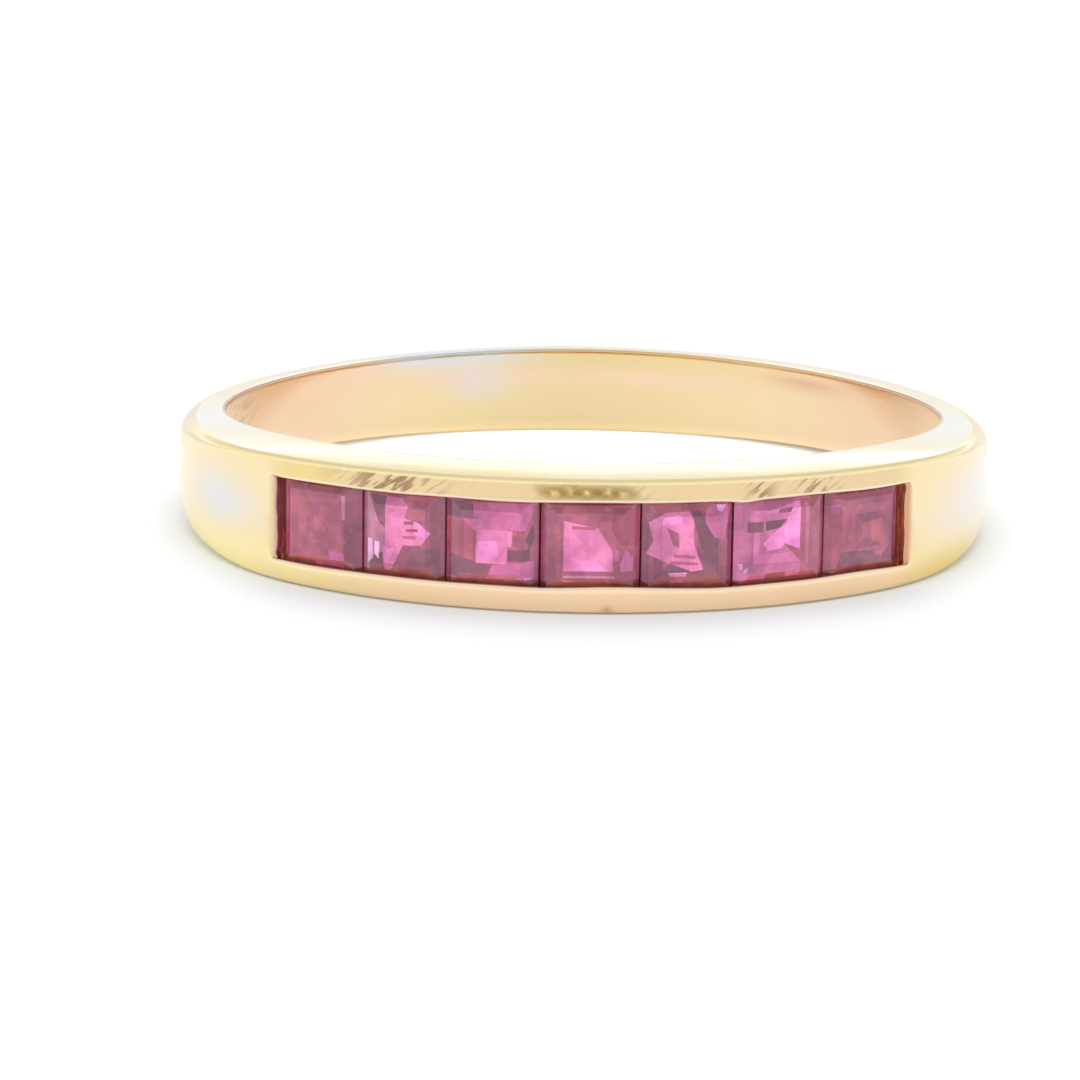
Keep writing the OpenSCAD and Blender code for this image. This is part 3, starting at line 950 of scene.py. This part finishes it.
# ---- stones
@dataclass
class Stone:
    """One of the seven square stones, cut facet by facet and set in the channel."""

    band: Band
    number: int
    cut: Cut
    height: float = 2.06
    crown_h: float = 0.24
    crown_slope: float = 42.0
    pavilion_h: float = 1.0
    pavilion: tuple[Pair, ...] = ((0.27, 0.78), (0.66, 0.40))
    rings: tuple[float, ...] = (0.16, 0.34, 0.52, 0.70)
    ring_reach: float = 1.1
    ring_step: float = 0.18
    # Steps of the facets inside are painted alternately lighter and darker.
    ring_shading: Pair = (1.06, 0.86)
    front: float = 0.3
    table: float = 0.95
    overlap: float = 0.2
    margin: float = 0.01
    # Painted light on the crown's edge facets and sides: a reflection of the gold lip on those that
    # face down, shade on the sides in the gaps between stones, and light on the outer sides of the
    # end stones.
    gold_reflection: Triple = (0.46, 0.13, 0.10)
    between: Triple = (0.17, 0.036, 0.070)
    end_side_light: Triple = (0.95, 0.52, 0.46)
    tone_range: Pair = (0.90, 1.10)
    seed: int = 40
    finish: Ruby = field(default_factory=Ruby)
    mesh: bpy.types.Mesh | None = field(default=None, init=False)

    def build(self) -> bpy.types.Object:
        """Cuts the stone and sets it.

        Returns:
            The stone.
        """
        deselect_all()
        bpy.ops.mesh.primitive_cube_add(size=1.0)
        stone = bpy.context.object
        stone.name = f"ruby_{self.number + 1}"
        self.mesh = stone.data
        self.mesh.name = stone.name
        bpy.ops.object.mode_set(mode="EDIT")
        bpy.context.tool_settings.mesh_select_mode = (False, False, True)
        bpy.ops.mesh.select_all(action="SELECT")
        girdle, cut = self.band.girdle_t, self.cut
        resize(cut.width, self.height, girdle)
        bpy.ops.transform.translate(value=(0.0, 0.0, -girdle / 2))
        step_in = self.crown_h / math.tan(math.radians(self.crown_slope))
        shoulder = (1.0 - step_in / cut.width, 1.0 - step_in / self.height)
        self.draw_out(1.0, self.crown_h / 2, *shoulder)
        self.draw_out(1.0, self.crown_h / 2, *(cut.table / share for share in shoulder))
        done, size = 0.0, 1.0
        for depth, left in self.pavilion:
            self.draw_out(-1.0, (depth - done) * self.pavilion_h, left / size, left / size)
            done, size = depth, left
        self.draw_out(-1.0, (1.0 - done) * self.pavilion_h, 0.5, 0.5)
        bpy.ops.mesh.merge(type="CENTER")
        self.cut_ground()
        for facet in cut.facets:
            self.cut_facet(self.outline(facet))
        bpy.ops.object.mode_set(mode="OBJECT")
        self.colour()
        self.put_in_place()
        self.mesh.materials.clear()
        self.mesh.materials.append(self.finish.make(stone.name))
        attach(stone, "root")
        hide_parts(f"stone_{self.number + 1}")
        return stone

    def draw_out(self, side: float, by: float, across: float, up: float) -> None:
        """Draws the end face of the stone outwards and narrows it.

        Args:
            side: 1 for the table's side and -1 for the point's.
            by: How far.
            across: What is left of its width.
            up: What is left of its height.
        """
        self.pick(lambda face: face.normal.z * side > 0.99)
        bpy.ops.mesh.extrude_region_move(TRANSFORM_OT_translate={"value": (0.0, 0.0, side * by)})
        resize(across, up, 1.0)

    def pick(self, wanted: FaceTest) -> bool:
        """Selects the faces that a test accepts.

        Args:
            wanted: The test.

        Returns:
            Whether there is such a face.
        """
        bpy.ops.mesh.select_all(action="DESELECT")
        found = [face for face in bmesh.from_edit_mesh(self.mesh).faces if wanted(face)]
        for face in found:
            face.select_set(True)
        bmesh.update_edit_mesh(self.mesh)
        return bool(found)

    def score(self, wanted: FaceTest, point: Pair, along: Pair) -> None:
        """Cuts the front of the stone along a straight line.

        Args:
            wanted: Which of its front faces the line goes through.
            point: A point of the line.
            along: The line's direction.
        """
        if self.pick(lambda face: face.normal.z > self.front and wanted(face)):
            bpy.ops.mesh.bisect(
                plane_co=(*point, 0.0), plane_no=(along[1], -along[0], 0.0), threshold=WELD
            )

    def cut_ground(self) -> None:
        """Cuts the diagonals that run to the keel, and the steps between them."""
        hx, hy = self.cut.width / 2, self.height / 2
        cx, cy = self.cut.heart[0] * hx, self.cut.heart[1] * hy
        for x, y in ((hx, hy), (hx, -hy), (-hx, hy), (-hx, -hy)):
            side = math.copysign(1.0, x)
            self.score(
                lambda face, side=side: (face.calc_center_median().x - cx) * side > -self.overlap,
                (cx, cy), (x - cx, y - cy),
            )
        for ring in self.rings:
            for sector, (sx, sy) in enumerate(((-1, 0), (0, 1), (1, 0), (0, -1))):
                x, y = (s * ring * half * self.ring_reach for s, half in ((sx, hx), (sy, hy)))
                self.score(
                    lambda face, sector=sector: self.sector(face) == sector,
                    (cx + x, cy + y), (float(sy), float(sx)),
                )

    def sector(self, face: bmesh.types.BMFace) -> int:
        """Tells which side of the keel a face lies on: left, above, right or below."""
        middle = face.calc_center_median()
        return self.side_of(middle.x / self.cut.width * 2, middle.y / self.height * 2)

    def side_of(self, u: float, v: float) -> int:
        """Tells which side of the keel a place lies on.

        Args:
            u: Its place along the row, as a share of the half width.
            v: Its place across the row, as a share of the half height.

        Returns:
            0 for left, 1 for above, 2 for right and 3 for below.
        """
        x, y = u - self.cut.heart[0], v - self.cut.heart[1]
        if abs(x) > abs(y):
            return 0 if x < 0 else 2
        return 1 if y > 0 else 3

    def cut_facet(self, corners: list[Pair]) -> None:
        """Cuts an outline into the front of the stone.

        Args:
            corners: Its corners, in turn.
        """
        low, high = ([most(p[k] for p in corners) for k in (0, 1)] for most in (min, max))

        def meets(face: bmesh.types.BMFace) -> bool:
            """Tells whether a face lies partly within the facet's box."""
            spots = [vert.co for vert in face.verts]
            return all(
                max(p[k] for p in spots) > low[k] + self.margin
                and min(p[k] for p in spots) < high[k] - self.margin
                for k in (0, 1)
            )

        for start, end in zip(corners, corners[1:] + corners[:1]):
            self.score(meets, start, (end[0] - start[0], end[1] - start[1]))

    def outline(self, facet: tuple[Tone | int, ...]) -> list[Pair]:
        """Gives the corners of a facet.

        Args:
            facet: Its row in the table of cuts.

        Returns:
            The corners in millimetres, in turn.
        """
        us, vs = facet[1::2], facet[2::2]
        if len(us) == 2:
            us, vs = (us[0], us[1], us[1], us[0]), (vs[0], vs[0], vs[1], vs[1])
        width, mouth = self.cut.width, self.band.mouth_w / 2
        return [(u / 100 * width / 2, v / 100 * mouth) for u, v in zip(us, vs)]

    def colour(self) -> None:
        """Gives each face its tone, a little lighter or darker by chance."""
        dice = np.random.default_rng(self.seed + self.number)
        shapes = [(facet[0], np.array(self.outline(facet))) for facet in self.cut.facets]
        tones = np.empty((len(self.mesh.loops), 4))
        for face in self.mesh.polygons:
            colour = self.tone_of(face, shapes) * dice.uniform(*self.tone_range)
            for k in face.loop_indices:
                tones[k] = (*colour, 1.0)
        attribute = self.mesh.attributes.new("tone", "FLOAT_COLOR", "CORNER")
        attribute.data.foreach_set("color", tones.ravel())

    def tone_of(
        self, face: bpy.types.MeshPolygon, shapes: list[tuple[Tone, np.ndarray]]
    ) -> np.ndarray:
        """Gives the tone of a face: its ground, the facet it lies in, then painted light and shade
        by its slope.

        Args:
            face: The face.
            shapes: The tone and the corners of each facet.

        Returns:
            The tone, as a linear colour.
        """
        x, y, _ = face.center
        u, v = x / self.cut.width * 2, y / self.height * 2
        heart, normal = self.cut.heart, face.normal
        # Steps round the keel are painted alternately lighter and darker.
        ring = int(max(abs(u - heart[0]), abs(v - heart[1])) / self.ring_step)
        tone = np.array(self.cut.ground[self.side_of(u, v)].value) * self.ring_shading[ring % 2]
        for shape_tone, corners in shapes:
            if holds(corners, x, y):
                tone = np.array(shape_tone.value)
        # Steep sides: painted shade in the gaps, painted light on the end stones' outer sides.
        if normal.z < self.front:
            at_an_end = normal.x * (self.number - len(CUTS) // 2) > 2.0
            return np.array(self.end_side_light if at_an_end else self.between)
        # Edge facets: a painted reflection of the gold lip on those facing down, painted shade on
        # the rest, deeper the more they face up.
        if normal.z < self.table and normal.y < -self.front:
            return 0.55 * tone + 0.45 * np.array(self.gold_reflection)
        if normal.z < self.table:
            return tone * (0.84 - 0.10 * normal.y)
        return tone

    def put_in_place(self) -> None:
        """Moves the stone from the middle of its girdle to its place in the channel."""
        a = math.radians(self.band.stone_angles[self.number])
        out = Vector((math.sin(a), -math.cos(a), 0.0))
        along = Vector((math.cos(a), math.sin(a), 0.0))
        turn = Matrix((along, Vector((0.0, 0.0, 1.0)), out)).transposed().to_4x4()
        turn.translation = out * self.band.girdle_r
        self.mesh.transform(self.band.rest() @ turn)
        self.mesh.transform(Matrix.Scale(MM, 4))
        self.mesh.update()


# ---- studio
@dataclass(frozen=True)
class Studio:
    """The white sheet, the soft white light round it and the camera."""

    floor_size: float = 1.6
    elevation: float = 11.12
    azimuth: float = -1.70
    roll: float = 0.96
    distance: float = 88.0
    lens: float = 123.15
    sensor: float = 36.0
    clip: Pair = (0.005, 10.0)
    centre_px: Pair = (582.21, 452.54)
    frame_px: float = 1080.0
    lamp_energy: float = 0.9
    lamp_spread: float = 50.0
    lamp_lean: float = 16.0
    tent_glow: float = 0.97
    top_dimming: float = 0.17
    strip_glow: float = 1.3

    def lay_floor(self) -> None:
        """Lays the white sheet."""
        deselect_all()
        bpy.ops.mesh.primitive_plane_add(size=self.floor_size)
        floor = bpy.context.object
        floor.name = "white_sheet"
        floor.data.materials.append(Paper().make("white_paper"))

    def light(self) -> None:
        """Sets the soft white surroundings, and one soft box above and behind."""
        world = bpy.data.worlds.new("white_tent")
        bpy.context.scene.world = world
        world.use_nodes = True
        graph = Graph(world.node_tree)
        way = graph.add("TexCoord", output="Generated")
        parts = graph.add("SeparateXYZ", inputs={0: way})
        y, z = parts.sibling(1), parts.sibling(2)
        strip = z.smooth(0.132, 0.149) * (1.0 - z.smooth(0.146, 0.176))
        tent = self.tent_glow - self.top_dimming * z.smooth(0.25, 0.5)
        strength = tent + self.strip_glow * y.smooth(0.3, 0.8) * strip
        inputs = {"Color": rgba(1.0, 1.0, 1.0), "Strength": strength}
        graph.end("OutputWorld", graph.add("Background", inputs=inputs))
        lamp = bpy.data.lights.new("soft_box", "SUN")
        lamp.energy = self.lamp_energy
        lamp.angle = math.radians(self.lamp_spread)
        box = bpy.data.objects.new("soft_box", lamp)
        box.rotation_euler = (math.radians(-self.lamp_lean), 0.0, 0.0)
        box.visible_glossy = False
        bpy.context.scene.collection.objects.link(box)

    def place_camera(self, rest: Matrix) -> None:
        """Puts the camera where the photograph was taken from.

        Args:
            rest: How the ring's own axis is turned to the side it rests on.
        """
        e, a, roll = (math.radians(v) for v in (self.elevation, self.azimuth, self.roll))
        back = Vector((math.sin(a) * math.cos(e), -math.cos(a) * math.cos(e), math.sin(e)))
        right = Vector((math.cos(a), math.sin(a), 0.0))
        level = Matrix((right, back.cross(right), back)).transposed()
        turned = level @ Matrix.Rotation(roll, 3, "Z")
        data = bpy.data.cameras.new("camera")
        camera = bpy.data.objects.new("camera", data)
        bpy.context.scene.collection.objects.link(camera)
        pose = rest @ Matrix.Translation(back * self.distance) @ turned.to_4x4()
        pose.translation *= MM
        camera.matrix_world = pose
        data.lens, data.sensor_width = self.lens, self.sensor
        data.clip_start, data.clip_end = self.clip
        half = self.frame_px / 2
        data.shift_x = (half - self.centre_px[0]) / self.frame_px
        data.shift_y = (self.centre_px[1] - half) / self.frame_px
        bpy.context.scene.camera = camera


def main() -> None:
    """Builds the ring and the studio, and reports each piece."""
    logging.basicConfig(level=logging.INFO, format="%(message)s")
    band = Band()
    stones = [Stone(band, number, cut) for number, cut in enumerate(CUTS)]
    for part in (band, *stones):
        piece = part.build()
        LOG.info("%s: %d faces", piece.name, len(piece.data.polygons))
    studio = Studio()
    studio.lay_floor()
    studio.light()
    studio.place_camera(band.rest())
    LOG.info("floor, light and camera placed")
    bpy.context.scene.view_settings.view_transform = "Standard"
    bpy.context.view_layer.update()


if __name__ == "__main__":
    main()
